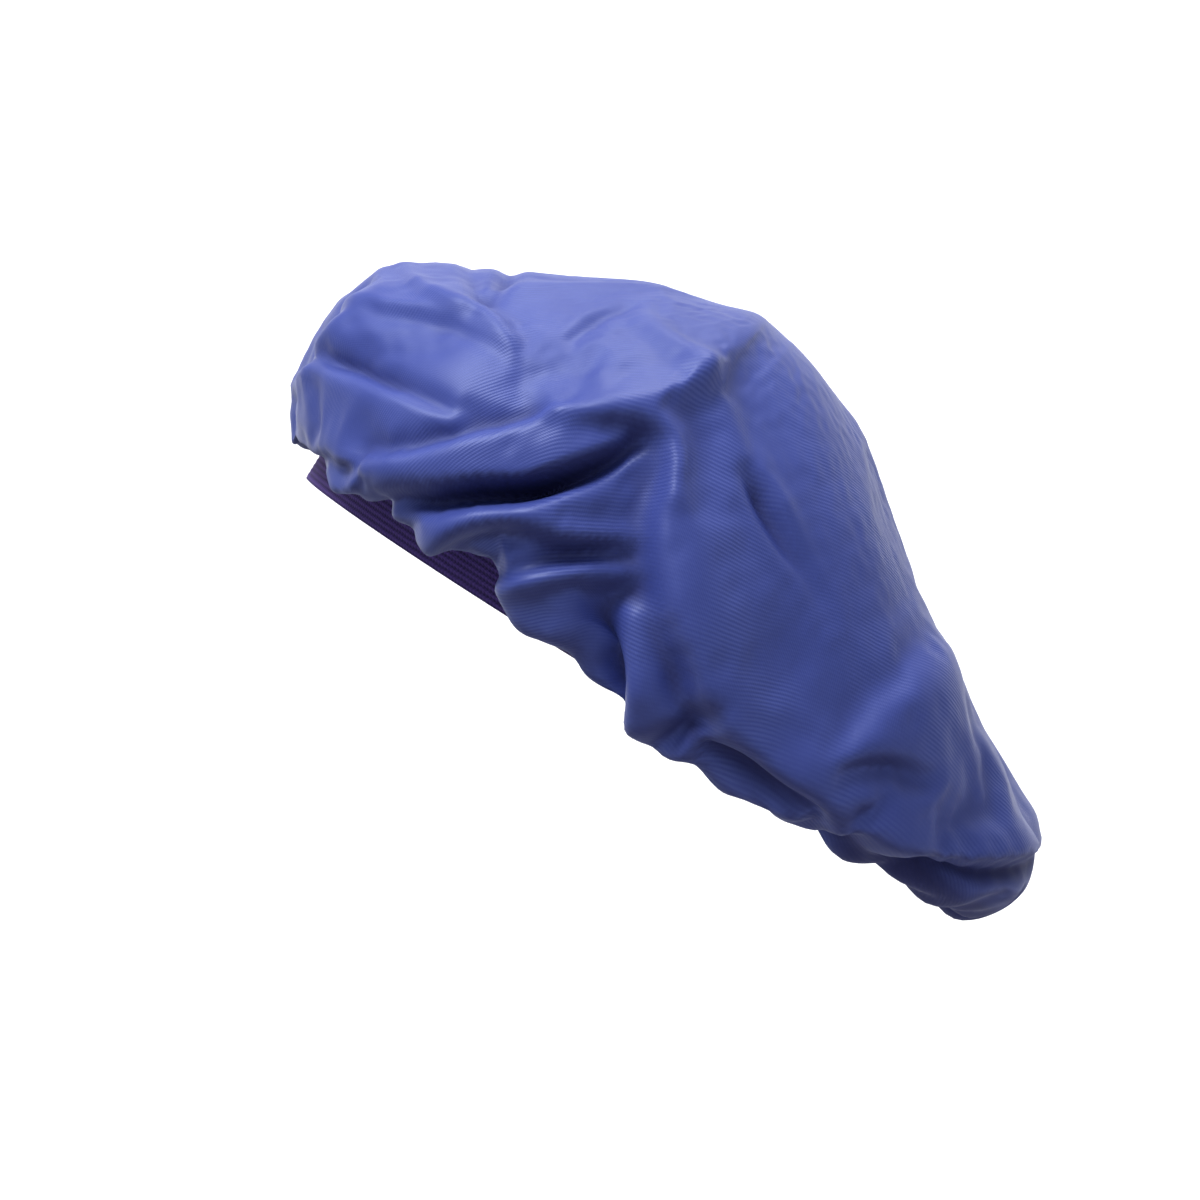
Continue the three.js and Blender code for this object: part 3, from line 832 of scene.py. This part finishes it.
# %% The folds of the near side
# Each stroke is its line, the heights along it and its reach above and below, then a depth and a drag if it
# has them.
NEAR_STROKES = [
    # the long front roll: its body, the sharp crest along its top, and the deep hollow under it
    ([(-92, 16), (-73, 29), (-59, 42), (-45, 55), (-32, 68), (-20, 80)], (2, 5, 6, 6, 6, 3), 11, 10),
    ([(-101, 18), (-89, 25), (-80, 32), (-72, 41), (-62, 53), (-52, 64), (-42, 74)],
     (1.5, 3, 3.5, 4, 4, 3.5, 3), 2.5, 8),
    ([(-98, 25), (-86, 31), (-78, 37), (-68, 48), (-57, 61), (-47, 71)], (-1, -2, -2.5, -2, -1), 7, 2.5),
    ([(-77, 17), (-62, 26), (-50, 36), (-38, 45), (-28, 56), (-21, 65), (-16, 73), (-13, 80)],
     (-3, -9, -15, -18, -18, -15, -10, -4), 2.6, 3.8, USUAL_DEPTH, 0.6),
    # its end turns down like a hook and becomes the long fold that runs to the tail
    ([(-42, 75), (-34, 78), (-23, 84), (-12, 88), (-4, 87), (3, 80), (9, 70)], (2.5, 3, 4, 5, 5, 5, 4), 8, 3),
    ([(-4, 84), (6, 72), (12, 61), (21, 49), (29, 41), (38, 34), (49, 26), (60, 18), (73, 14), (86, 12),
      (98, 9), (116, 8), (128, 3)], (4, 6, 9, 11, 12, 12, 11, 11, 10, 9, 9, 7, 4), 26, 6),
    # the second layer, whose lower edge is a ridge over a narrow shadow
    ([(-60, 17), (-52, 25), (-42, 33), (-30, 42), (-18, 52), (-6, 62)], (3, 4, 4, 4, 3, 1), 5, 7),
    ([(-60, 5), (-55, 13), (-52, 19), (-47, 25), (-39, 31), (-31, 35), (-22, 38), (-11, 42), (-1, 46),
      (8, 49)], (4, 5, 5, 5, 5, 4.5, 4, 3.5, 2.5, 1), 6, 3.2),
    ([(-25, 18), (-21, 24), (-13, 33), (-2, 41), (8, 46), (16, 48)], (-0.5, -2, -4, -4.5, -3.5, -1), 3.5, 5),
    # the lobe in front of the ear
    ([(-25, 12), (-19, 19), (-11, 27), (0, 37), (9, 43), (15, 47)], (3, 4, 4, 3.5, 2.5, 1), 2.5, 7),
    ([(-19, 5), (-8, 4), (4, 7)], (3, 4, 2), 5, 5),
    # the dark hollow behind it, and the bright facet that stands over the ear
    ([(29, 50), (20, 41), (14, 32), (14, 23), (21, 11), (31, -4)], (0, -3, -7, -11, -12, -10), 6, 11),
    ([(27, 26), (31, 15), (36, 5), (42, -5), (50, -13)], (0, 1, 4, 6, 5), 11, 4),
    ([(30, 36), (40, 26), (50, 16), (58, 10)], (-1, -2, -3, -2), 6, 7),
    ([(52, -10), (57, -4), (61, 6), (65, 15)], (-3, -5, -4, -2), 5.5, 3),
    ([(59, -12), (65, -4), (70, 6)], (1.5, 2.5, 1.5), 3, 6),
    # the hollow under the long fold, and the thin lip below it
    ([(70, 1), (86, 3), (108, 4), (122, 2)], (-5, -6, -5, -2), 4, 4),
    ([(74, -9), (90, -5), (112, -1), (128, 2)], (3, 4, 4, 2), 2.5, 3.5),
    # the forehead: two low lobes, one over the other, with a thin shadow between them
    ([(-138, 30), (-132, 37), (-127, 41), (-118, 44), (-108, 46), (-95, 49), (-83, 51), (-71, 54)],
     (0, 1, 2.5, 2.5, 2, 1.5, 1, 0.5), 2.6, 10),
    ([(-138, 8), (-143, 22), (-143, 38)], (-4, -5, -3), 18, 18, EVERYWHERE),
    ([(-140, 66), (-132, 84), (-116, 98), (-96, 108)], (2, 4, 2, 0), 20, 20, EVERYWHERE),
    ([(-139, 35), (-134, 42), (-128, 46), (-119, 49), (-109, 51), (-96, 53), (-84, 55), (-70, 58)],
     (-3, -4, -4, -3.5, -3, -2, -1.5, -0.5), 6, 2.8, (0, 60)),
    ([(-141, 34), (-135, 44), (-130, 52), (-126, 60), (-122, 65), (-113, 71)], (2, 3.5, 4, 4, 3, 1), 3.5, 8,
     (0, 60)),
    ([(-137, 60), (-134, 64), (-127, 70), (-114, 77), (-104, 82), (-96, 85), (-88, 87), (-79, 87), (-66, 87)],
     (3, 3.5, 3.5, 3, 3, 3, 3, 2, 0.5), 9, 2.5),
    ([(-130, 60), (-127, 66), (-120, 71), (-110, 77)], (1, 2, 1.5, 0.5), 3, 2.5),
    ([(-122, 89), (-110, 88), (-101, 88), (-95, 89), (-89, 92), (-84, 92), (-77, 91), (-70, 89)],
     (1, 2, 2, 2.5, 3.5, 3.5, 2.5, 1), 4, 2.5),
    ([(-133, 80), (-137, 68), (-139, 58), (-138, 48)], (-2, -5, -5, -2), 5, 4.5, (5, 60)),
    ([(-101, 104), (-90, 99), (-87, 110)], (-1.5, -4.5, -3), 4.5, 4.5, (-10, 40)),
    ([(-53, 103), (-48, 114), (-39, 122), (-31, 126)], (-1, -2.5, -2.5, -1), 2.6, 4),
    # the little hollow with a curled lip at the front
    ([(-107, 13), (-100, 15), (-94, 19)], (-2, -4, -2.5), 3.5, 4),
    ([(-108, 8), (-103, 7), (-97, 9), (-92, 15), (-92, 20)], (2, 3, 3, 3, 1), 2.5, 2.5),
    # the star of ridges at the crown's shoulder
    ([(-43, 77), (-29, 86), (-18, 95), (-8, 107), (-2, 120), (5, 136)], (2, 4.5, 6, 6.5, 5, 2), 11, 7),
    ([(-6, 110), (8, 106), (22, 98), (34, 90)], (3, 3, 2, 0.5), 7, 8),
    ([(-32, 120), (-18, 115), (-4, 111)], (1, 3, 3), 5, 5),
    ([(5, 132), (30, 126), (48, 114)], (2, 2, 1), 9, 9),
    # the bag is fuller behind the crown's shoulder
    ([(-30, 138), (10, 140), (55, 124), (110, 90)], (7, 9, 4, 0), 40, 26, EVERYWHERE),
    # short sharp creases
    ([(29, 93), (36, 90), (44, 86), (54, 81), (66, 76), (77, 71)], (-2, -5, -4, -2.5, -1.5, -0.5), 2.6, 4),
    ([(34, 97), (46, 91), (60, 84)], (1, 2, 0.5), 5, 2.6),
    ([(49, 136), (62, 124), (77, 113)], (1, 1.5, 0.5), 4, 3),
    # the broad soft fold towards the tail, and the tail's lip
    ([(140, 86), (133, 70), (125, 50), (119, 31), (111, 19)], (2, 4, 5, 5, 2), 20, 11),
    ([(117, 20), (129, 27), (146, 30)], (-3, -4, -2), 5, 5),
    ([(124, 6), (141, 7), (158, 9), (176, 15), (194, 24), (214, 31)], (3, 4, 5, 5, 5, 3), 11, 2.5),
    ([(130, -2), (147, -2), (165, 1), (184, 9), (205, 20)], (-3, -6, -7, -6, -4), 2.8, 5.5),
]
cloth += sum(stroke(*one) for one in NEAR_STROKES)
print("near side:", len(NEAR_STROKES), "strokes")

# %% [markdown]
# The far side hangs in folds of its own. They are fewer and broader, because nothing there is pushed up by a
# roll.

# %% The folds of the far side and the back
FAR_STROKES = [
    ([(-120, 40), (-92, 34), (-60, 44), (-30, 62)], (4, 8, 8, 3), 14, 10),
    ([(-96, 22), (-70, 26), (-44, 38), (-20, 52)], (-4, -9, -9, -3), 6, 10),
    ([(-132, 66), (-108, 76), (-80, 80), (-52, 92)], (3, 5, 5, 2), 8, 4),
    ([(-118, 58), (-90, 62), (-62, 74)], (-3, -4, -2), 4, 8),
    ([(-8, 66), (6, 40), (24, 16), (38, -8)], (2, 7, 8, 6), 9, 9),
    ([(14, 58), (28, 34), (44, 12), (56, -10)], (-2, -6, -7, -5), 9, 8),
    ([(20, 84), (48, 58), (78, 34), (108, 18), (140, 8)], (3, 8, 9, 8, 4), 26, 7),
    ([(70, 20), (94, 4), (118, -6)], (-4, -6, -4), 5, 7),
    ([(70, 116), (98, 92), (120, 66)], (2, 4, 2), 12, 10),
    ([(-30, 112), (0, 118), (30, 112), (56, 98)], (2, 5, 5, 2), 8, 8),
    ([(56, 74), (74, 66), (92, 62)], (-1, -3.5, -2), 3, 4),
    ([(140, 10), (166, 12), (196, 28)], (3, 6, 4), 12, 4),
]
cloth += sum(stroke(*one, side=1) for one in FAR_STROKES)
print("far side:", len(FAR_STROKES), "strokes")

# %% [markdown]
# ## Letting the cloth settle
#
# Drawn folds are too even. Real satin is a little too big for every place where it lies, so it buckles
# in small creases whose direction nobody chose. A coarse copy of the sheet is simulated as cloth. Its hem is
# pinned and the rest is held loosely at the drawn shape, while the cloth grows a little and its weight pulls
# on it. What the simulation moved is added to the fine grid.


# %% Grids made smoother and finer
def blurred(values, size):
    """A grid averaged over a window of 2 * size + 1 rows and columns, by a raised cosine."""
    weights = np.hanning(2 * size + 3)[1:-1]
    weights /= weights.sum()
    tall = np.concatenate([values[:1]] * size + [values] + [values[-1:]] * size)
    values = sum(w * tall[k : k + len(values)] for k, w in enumerate(weights))
    return sum(w * np.roll(values, k - size, axis=1) for k, w in enumerate(weights))


def finer(values, axis, wrap):
    """Twice as many points along an axis: (9 * (b + c) - (a + d)) / 16 of four neighbours lies halfway."""
    values = np.moveaxis(values, axis, 0)
    if wrap:
        a, b, c, d = (np.roll(values, shift, 0) for shift in (1, 0, -1, -2))
        fine = np.stack([values, (9 * (b + c) - (a + d)) / 16], 1).reshape(-1, *values.shape[1:])
    else:
        padded = np.concatenate([values[:1], values, values[-1:]])
        halfway = (9 * (padded[1:-2] + padded[2:-1]) - (padded[:-3] + padded[3:])) / 16
        fine = np.stack([values[:-1], halfway], 1).reshape(-1, *values.shape[1:])
        fine = np.concatenate([fine, values[-1:]])
    return np.moveaxis(fine, 0, axis)


# %% A coarse copy settles
near_top = smoothstep(ROWS - 36, ROWS - 12, rows)  # where the lines run together, nothing is added
FULLNESS = (0.025, 0.004)  # how much too big the cloth is for its place, at the hanging fold and on the dome
HOLD = 0.10  # how firmly it is held at the drawn shape
SETTLE_FRAMES = 20
MOST_MOVED = 7.0  # mm


def settled(points):
    """The grid after its coarse copy has been simulated: points + offset, at most MOST_MOVED long."""
    coarse = points[:-2:2, ::2]  # without the crown's middle, where the lines meet
    obj = piece("settling", coarse, grid_faces(*coarse.shape[:2], wrap_columns=True), merge=False)
    level = np.repeat(np.arange(len(coarse))[:, None] * 2, coarse.shape[1], 1)
    held = mix(1.0, HOLD, smoothstep(6, FOLD_ROW - 8, level))
    held[-1] = 1.0  # the hem and the crown's middle stay where they are
    on_dome = smoothstep(FOLD_ROW + 10, FOLD_ROW + 50, level)
    for name, weights in (("held", held.round(3)), ("on_dome", on_dome.round(3))):
        group = obj.vertex_groups.new(name=name)
        for value in np.unique(weights):
            group.add(np.flatnonzero(weights == value).tolist(), float(value), "REPLACE")
    cloth_modifier = obj.modifiers.new("cloth", "CLOTH")
    setup = cloth_modifier.settings
    setup.quality = 6
    setup.mass = 0.02
    setup.tension_stiffness = setup.compression_stiffness = 12
    setup.shear_stiffness = 3
    setup.bending_stiffness = 0.5
    setup.air_damping = 2
    setup.vertex_group_mass = "held"
    setup.pin_stiffness = 1.0
    setup.shrink_min, setup.shrink_max = -FULLNESS[0], -FULLNESS[1]
    setup.vertex_group_shrink = "on_dome"
    setup.effector_weights.gravity = 0.08
    cloth_modifier.collision_settings.use_collision = False
    cloth_modifier.point_cache.frame_start = 1
    cloth_modifier.point_cache.frame_end = SETTLE_FRAMES
    for frame_number in range(1, SETTLE_FRAMES + 1):
        bpy.context.scene.frame_set(frame_number)
    mesh = obj.evaluated_get(bpy.context.evaluated_depsgraph_get()).data
    moved = np.empty(len(mesh.vertices) * 3, dtype=np.float32)
    mesh.vertices.foreach_get("co", moved)
    bpy.data.objects.remove(obj)
    bpy.context.scene.frame_set(1)
    offset = (moved.reshape(-1, 3) @ np.array([BACK, SIDE, UP]).T / MM).reshape(coarse.shape) - coarse
    length = np.linalg.norm(offset, axis=-1, keepdims=True)
    offset *= np.minimum(1, MOST_MOVED / np.maximum(length, 1e-9))
    print(f"settled: moved {length.mean():.1f} mm on average, {length.max():.1f} mm at most")
    offset = finer(finer(offset, 0, False), 1, True)
    offset = np.concatenate([offset, offset[-1:] / 2, np.zeros_like(offset[-1:])])
    return points + offset * (1 - near_top[..., None])


# %% Settled, and pressed
cloth = settled(cloth)
CRISP = 1.0  # creases are pressed in: cloth + CRISP * (cloth - the cloth averaged round each point)
pressed = smoothstep(FOLD_ROW - 12, FOLD_ROW, rows) * (1 - near_top)
cloth = cloth + CRISP * pressed[..., None] * (cloth - blurred(cloth, 3))
cloth = mix(cloth, blurred(cloth, 1), pressed[..., None])  # takes out the steps where a fold crosses the grid
moved = cloth - bag  # the lines meet at the crown's middle, so there every line moves by the same amount
cloth = bag + mix(moved, moved.mean(axis=1, keepdims=True), smoothstep(ROWS - 8, ROWS - 2, rows)[..., None])
print(f"crown's middle: closed within {np.ptp(cloth[-1], axis=0).max():.1e} mm")

# %% [markdown]
# ## Painted shade in the folds
#
# Light that falls into a fold bounces between blue walls, and comes out darker and bluer each time, and here
# that shade is painted into the satin's colour. How deep a point lies is measured on the grid: how far the
# cloth round it stands out past it. Where a point stands out past the cloth round it, a painted highlight makes
# it paler. The cloth hidden under the hanging fold, the cloth that faces down, and strips under the tail's lip
# and the long fold get painted shade as well. The satin's colour reads this number.

# %% How deep each point lies, for the painted shade
facing = normals(cloth)
narrow = ((blurred(cloth, 5) - cloth) * facing).sum(-1)
broad = ((blurred(cloth, 14) - cloth) * facing).sum(-1)
# painted shade on the cloth hidden under the hanging fold
inside = smoothstep(FOLD_ROW + 3, FOLD_ROW - 9, rows)
# painted shade on the cloth that faces the floor and the neck, set by the way it faces
painted_shade_facing_down = smoothstep(-0.1, -0.75, facing @ np.array([BACK, SIDE, UP])[:, 2])  # faces the floor and the neck
fade = smoothstep(ROWS - 4, ROWS - 24, rows)
# painted shade where the cloth round a point stands out past it, and a painted highlight, below zero, where the
# point stands out
painted_shade_and_highlight = np.clip(narrow / 3.0, -0.5, 1) * 0.55 + np.clip((broad - 1.0) / 5.0, -0.2, 1) * 0.4
# painted shade in strips under the tail's lip and under the long fold, and over the tail's underside
painted_shade_below_lip = closeness([(129, -1), (147, 0), (165, 3), (183, 9), (212, 25)], 2.5, 17, depth=(60, 130))[0]
painted_shade_below_long_fold = closeness([(66, 1), (88, 2), (112, 3)], 4, 4)[0]
painted_shade_on_tail_underside = smoothstep(116, 140, bag[..., 0]) * smoothstep(FOLD_ROW + 9, FOLD_ROW + 4, rows)
shaded = np.maximum(np.maximum(painted_shade_below_lip, painted_shade_below_long_fold), painted_shade_on_tail_underside)
painted_shade_and_highlight = blurred(np.clip(painted_shade_and_highlight * fade + 0.85 * shaded, -0.5, 0.92)[..., None], 1)[..., 0]
# the painted shade is at least this dark under the hanging fold, on cloth that faces down, and under the tail
painted_shade_and_highlight = np.maximum(painted_shade_and_highlight, np.maximum(0.75 * np.maximum(inside, painted_shade_facing_down), 0.92 * painted_shade_on_tail_underside))
print(f"hollows: {100 * (painted_shade_and_highlight > 0.3).mean():.0f}% of the points lie deep")

# %% [markdown]
# ## Putting the cloth together
#
# The finished grid becomes one sheet. The middle of the round is a single point, so the last row is merged
# there. Satin is thin, and a Solidify modifier gives the sheet its second side.

# %% The satin piece
faces = grid_faces(ROWS, COLUMNS, wrap_columns=True)
crown = piece("gathered_satin", cloth, faces, flat, SATIN, merge=False)
# the painted shade and painted highlight go on the satin as a number at each point
depth = crown.data.attributes.new("painted_shade_and_highlight", "FLOAT", "POINT")
depth.data.foreach_set("value", painted_shade_and_highlight.astype(np.float32).ravel())
close(crown.data)
wall = crown.modifiers.new("thickness", "SOLIDIFY")
wall.thickness = 0.4 * MM
wall.offset = -1
wall.use_even_offset = False
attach(crown, "bonnet")
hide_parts("crown_satin")
DIAMETER = 2 * RADIUS * MM
np.pi * (RADIUS * MM) ** 2

# %% [markdown]
# ## Stage, light and camera
#
# A pale paper sweep under a bright even sky, which fills the shadows. One soft light stands above and in
# front and draws the folds, a second hangs overhead and lights the top, and two more light the paper behind.
# The lens is long, and looks from a little above the level of the head.

# %% Stage
low, high = np.array(cad_box[0]), np.array(cad_box[1])
centre = (low + high) / 2
FLOOR = low[2] - 1.2  # the bonnet is shown well above the paper


def sweep(name, half_width, front, rear, height, radius):
    """A floor that bends up into a wall: a profile of floor, quarter circle and wall, carried along x."""
    a = np.linspace(0, np.pi / 2, 17)
    y = np.concatenate([[front], rear - radius + radius * np.sin(a), [rear]])
    z = np.concatenate([[0], radius - radius * np.cos(a), [height]])
    x = np.linspace(-half_width, half_width, 5)[:, None]
    points = np.stack(np.broadcast_arrays(x, y, z), -1).reshape(-1, 3)
    mesh = bpy.data.meshes.new(name)
    quads = grid_faces(5, len(y))
    mesh.from_pydata((points + [centre[0], 0, FLOOR]).tolist(), [], quads[:, ::-1].tolist())
    mesh.polygons.foreach_set("use_smooth", np.ones(len(mesh.polygons), dtype=bool))
    obj = bpy.data.objects.new(name, mesh)
    bpy.context.scene.collection.objects.link(obj)
    paper = Finish("pale paper", base_color=(0.9, 0.9, 0.91), roughness=0.9)
    mesh.materials.append(paper.material)


sweep("paper_sweep", 6.0, -6.0, 3.0, 5.0, 1.2)


# %% Lights and sky
def soft_light(name, place, size, power, aim=(0, 0, 0)):
    """A square area light at `place`, turned towards `aim`, both in metres from the bonnet's middle."""
    light = bpy.data.lights.new(name, "AREA")
    light.shape = "SQUARE"
    light.size = size
    light.energy = power
    obj = bpy.data.objects.new(name, light)
    obj.location = Vector(centre) + Vector(place)
    obj.rotation_euler = (Vector(aim) - Vector(place)).to_track_quat("-Z", "Y").to_euler()
    bpy.context.scene.collection.objects.link(obj)


soft_light("key", (-0.36, -0.45, 0.90), 0.42, 10.5)
soft_light("top", (0.15, 0.14, 1.0), 0.55, 5)
for side in (-1, 1):
    soft_light(f"paper_{side + 2}", (side * 1.8, 0.9, 0.9), 1.0, 60, aim=(side * 0.9, 3.0, 0.2))
world = bpy.data.worlds.new("studio")
world.use_nodes = True
sky = world.node_tree.nodes["Background"]
sky.inputs["Color"].default_value = (0.86, 0.88, 0.92, 1)
sky.inputs["Strength"].default_value = 0.58
bpy.context.scene.world = world

# %% Camera
DISTANCE = 1.5
ELEVATION = np.radians(3)
FRAME_WIDTH = 0.48  # of the view at the bonnet's middle
camera = bpy.data.objects.new("camera", bpy.data.cameras.new("camera"))
camera.data.sensor_width = 36
camera.data.lens = 36 * DISTANCE / FRAME_WIDTH
target = Vector(centre) + Vector((-0.0235, 0, -0.0035))  # the bonnet lies a little to the right of the middle
camera.location = target + DISTANCE * Vector((0, -np.cos(ELEVATION), np.sin(ELEVATION)))
camera.rotation_euler = (target - camera.location).to_track_quat("-Z", "Y").to_euler()
bpy.context.scene.collection.objects.link(camera)
bpy.context.scene.camera = camera
bpy.context.scene.view_settings.view_transform = "Standard"
